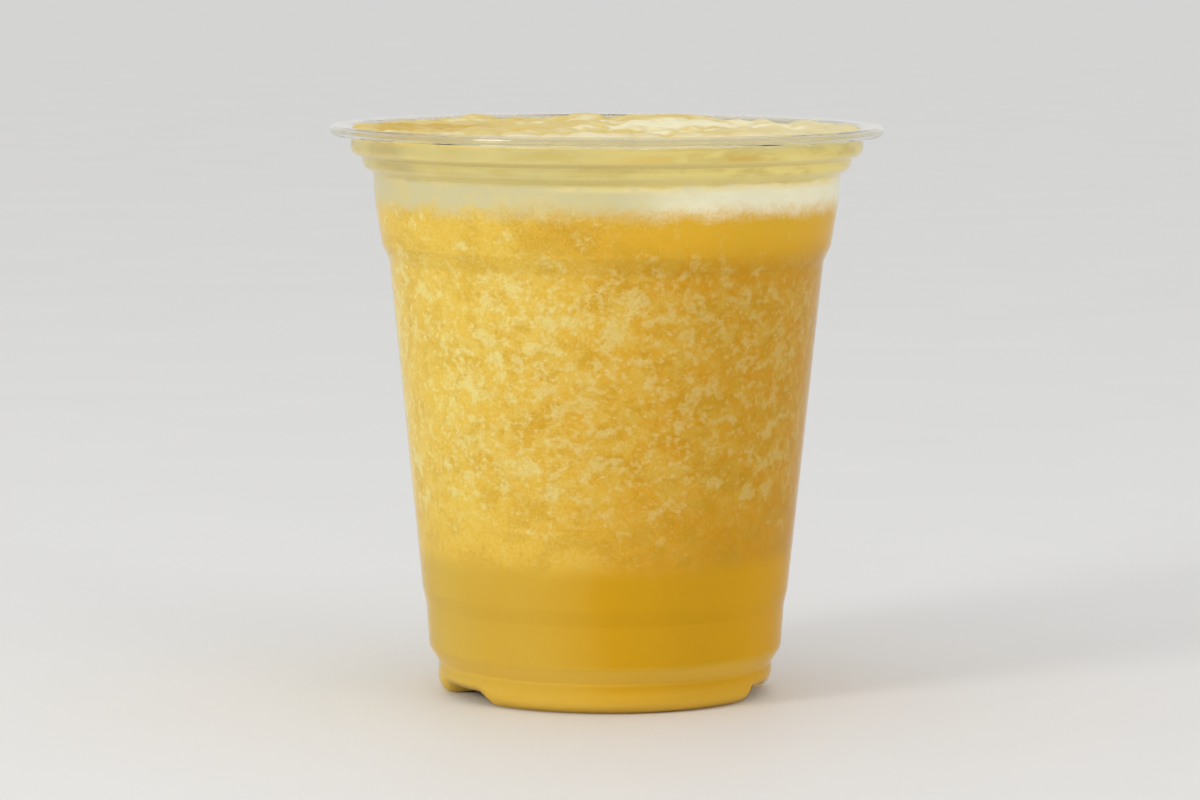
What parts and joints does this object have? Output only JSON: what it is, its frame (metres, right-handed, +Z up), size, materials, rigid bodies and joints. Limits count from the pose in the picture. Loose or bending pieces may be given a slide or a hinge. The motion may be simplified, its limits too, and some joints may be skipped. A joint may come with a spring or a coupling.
{
  "type": "cup of fruit smoothie",
  "caption": "Clear thin plastic takeaway cup with a rolled rim, stepped neck and arched foot, filled to the brim with yellow icy fruit smoothie under a pale froth.",
  "frame": {"origin": "on the floor, under the middle of the cup's foot", "axes": "+Z up along the cup's axis, -Y towards the side shown in the picture, +X to the right of it"},
  "size_m": [0.098, 0.098, 0.1014],
  "materials": {
    "clear_plastic": "clear, thin, glossy plastic sheet",
    "settled_juice": "smooth cloudy amber juice",
    "slush": "grainy yellow slush with pale specks of ice",
    "pale_froth": "pale fine froth with soft edges",
    "brim_froth": "heaped yellow froth with cream lumps"
  },
  "bodies": {
    "root": {"cup": "clear_plastic", "settled_juice": "settled_juice", "slush": "slush", "pale_froth": "pale_froth", "brim_froth": "brim_froth"}
  },
  "joints": []
}
